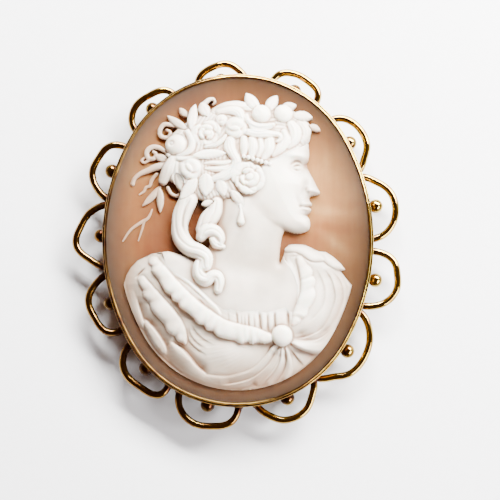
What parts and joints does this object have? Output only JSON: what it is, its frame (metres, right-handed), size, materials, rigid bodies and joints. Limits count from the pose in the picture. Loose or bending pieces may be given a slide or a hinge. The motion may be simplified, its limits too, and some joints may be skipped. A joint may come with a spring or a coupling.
{
  "type": "oval cameo brooch",
  "caption": "Oval carved shell cameo with a profile bust, in a gold setting edged with bent wire loops and small balls, with a pin behind.",
  "frame": {"origin": "under the middle of the whole brooch, on the surface it lies on", "axes": "+X to the right of the carved picture, +Y to its top, +Z out of its front"},
  "size_m": [0.0512, 0.0582, 0.0107],
  "materials": {
    "gold": "polished, reddish in the recesses",
    "shell_orange": "polished shell, slightly translucent",
    "shell_white": "satin carved shell",
    "pin_gold": "worn polish"
  },
  "bodies": {
    "root": {"setting": "gold", "shell_ground": "shell_orange", "bust_relief": "shell_white", "brooch_pin": "pin_gold"}
  },
  "joints": []
}
